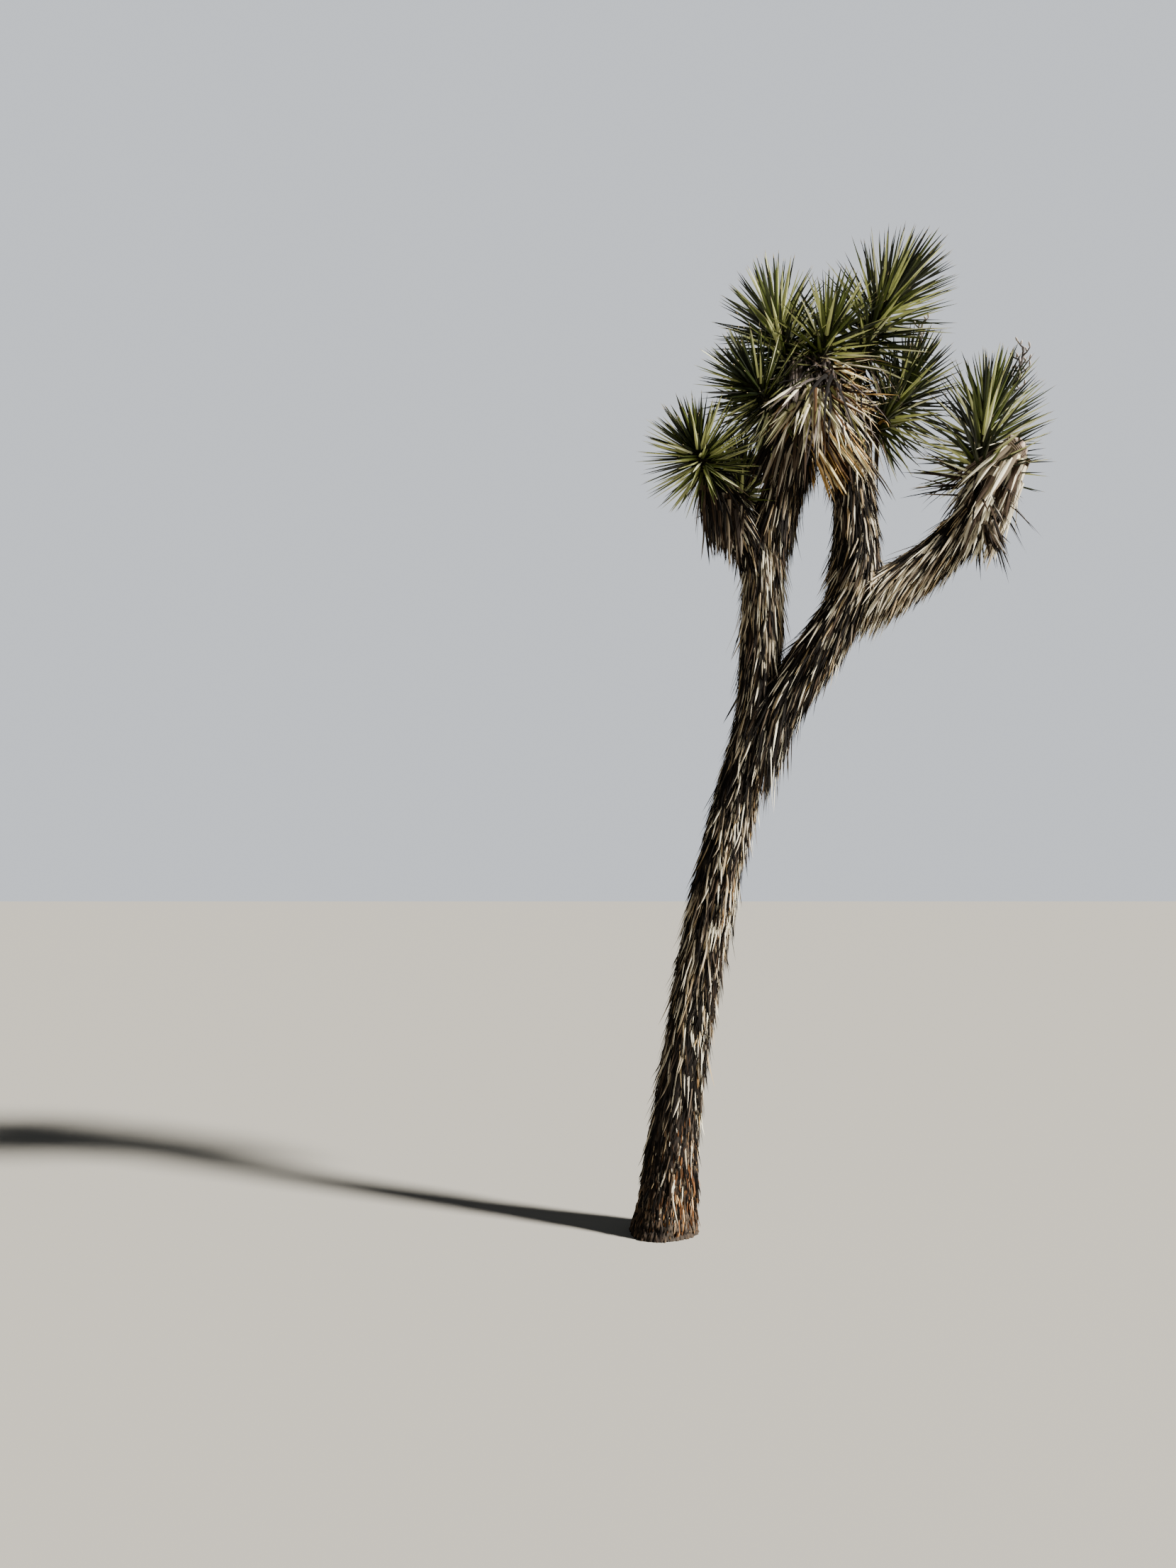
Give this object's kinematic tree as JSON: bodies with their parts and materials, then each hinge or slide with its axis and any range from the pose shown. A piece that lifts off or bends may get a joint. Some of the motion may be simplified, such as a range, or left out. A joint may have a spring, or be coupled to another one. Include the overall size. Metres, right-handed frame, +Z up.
{
  "type": "joshua tree",
  "caption": "Desert tree with a leaning shaggy trunk, forked boughs thatched with dead leaves, and round heads of stiff dagger-shaped leaves.",
  "frame": {"origin": "middle of the flat cut under the trunk, at ground level", "axes": "+Z up, +X towards the side that the tree leans to, +Y away from the side it is seen from"},
  "size_m": [1.9324, 1.0499, 4.5462],
  "materials": {
    "bark": "rough fibrous bark",
    "thatch": "matte dead leaves",
    "leaf": "waxy leaf",
    "dead_leaf": "dry straw"
  },
  "bodies": {
    "root": {"trunk": "bark", "right_bough": "thatch", "left_bough": "thatch", "left_fork": "thatch", "left_arm": "thatch", "centre_limb": "thatch", "right_limb": "thatch", "head_far_left": "leaf", "head_inner_left": "leaf", "head_left": "leaf", "head_upper_left": "leaf", "head_middle": "leaf", "head_top": "leaf", "head_right": "leaf", "head_back": "leaf", "head_back_left": "leaf", "head_far_right": "leaf", "hanging_skirt": "dead_leaf", "dead_end": "dead_leaf"}
  },
  "joints": []
}
